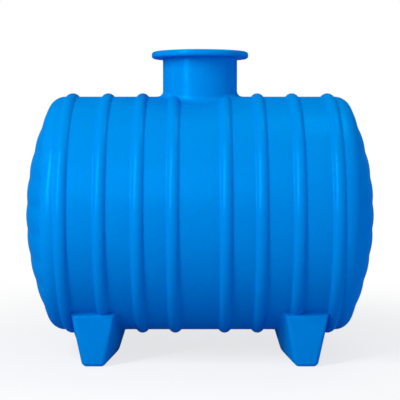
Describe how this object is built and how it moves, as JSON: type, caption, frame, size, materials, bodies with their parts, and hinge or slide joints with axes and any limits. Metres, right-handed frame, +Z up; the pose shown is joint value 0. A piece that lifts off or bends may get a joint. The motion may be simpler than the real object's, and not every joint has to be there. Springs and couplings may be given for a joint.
{
  "type": "horizontal underground water tank",
  "caption": "Horizontal ribbed plastic tank for buried water storage, with fluted dished ends, a flanged access neck on top and moulded saddle feet below.",
  "frame": {"origin": "on the ground, in the middle between the two feet, under the middle of the barrel", "axes": "+X along the barrel, +Y to the back, +Z up through the neck"},
  "size_m": [1.8592, 1.2959, 1.628],
  "materials": {
    "blue_polyethylene": "semi-gloss moulded polyethylene"
  },
  "bodies": {
    "root": {"barrel_bay_1": "blue_polyethylene", "barrel_bay_2": "blue_polyethylene", "barrel_bay_3": "blue_polyethylene", "barrel_bay_4": "blue_polyethylene", "barrel_bay_5": "blue_polyethylene", "barrel_bay_6": "blue_polyethylene", "barrel_bay_7": "blue_polyethylene", "hoop_rib_1": "blue_polyethylene", "hoop_rib_2": "blue_polyethylene", "hoop_rib_3": "blue_polyethylene", "hoop_rib_4": "blue_polyethylene", "hoop_rib_5": "blue_polyethylene", "hoop_rib_6": "blue_polyethylene", "hoop_rib_7": "blue_polyethylene", "hoop_rib_8": "blue_polyethylene", "left_end": "blue_polyethylene", "right_end": "blue_polyethylene", "neck": "blue_polyethylene", "neck_flange": "blue_polyethylene", "left_foot": "blue_polyethylene", "right_foot": "blue_polyethylene"}
  },
  "joints": []
}
